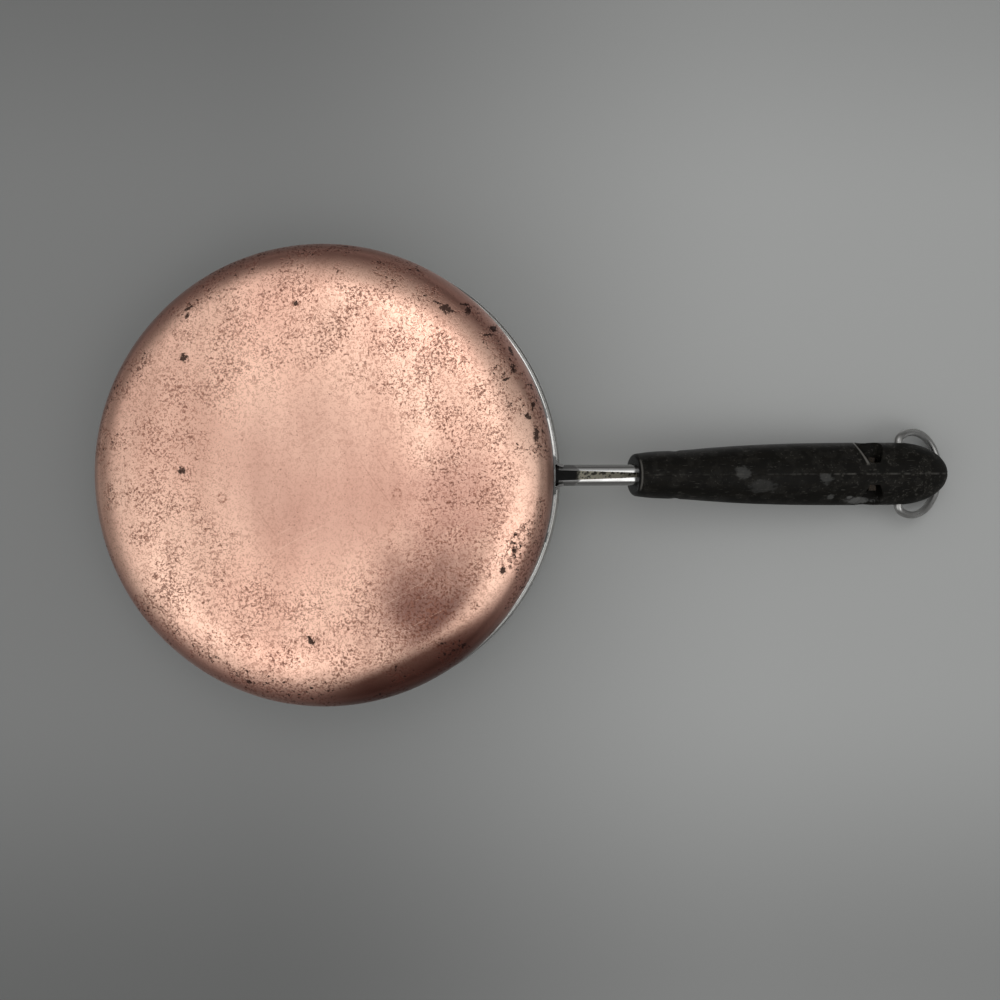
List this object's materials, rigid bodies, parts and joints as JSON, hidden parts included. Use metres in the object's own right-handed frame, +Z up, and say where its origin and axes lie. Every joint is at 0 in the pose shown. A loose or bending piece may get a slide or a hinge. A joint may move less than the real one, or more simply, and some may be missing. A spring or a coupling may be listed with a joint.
{
  "type": "skillet",
  "caption": "Round steel skillet with a copper-clad base, a welded bracket, a dark split grip and a swinging wire hanging ring.",
  "frame": {"origin": "centre of the flat base, on its underside", "axes": "+Z up through the mouth of the bowl, +X along the handle, +Y completes a right-handed frame"},
  "size_m": [0.4363, 0.23, 0.0988],
  "materials": {
    "copper": "satin, worn",
    "bowl_steel": "brushed",
    "bracket_steel": "satin, with grime in the channel",
    "grip_phenolic": "worn moulded phenolic",
    "fastener_steel": "dull",
    "ring_wire": "plated, dulled"
  },
  "bodies": {
    "pan": {"pan_body": "bowl_steel", "copper_cladding": "copper", "handle_bracket": "bracket_steel", "left_grip_half": "grip_phenolic", "right_grip_half": "grip_phenolic", "front_rivet": "fastener_steel", "rear_screw": "fastener_steel", "rear_nut": "fastener_steel"},
    "ring": {"hanging_ring": "ring_wire"}
  },
  "joints": [
    {"name": "ring_swing", "type": "hinge", "parent": "pan", "child": "ring", "pos_m": [0.29204, 0, 0.07766], "axis": [0, -1, 0], "range_deg": [-175, 131]}
  ]
}
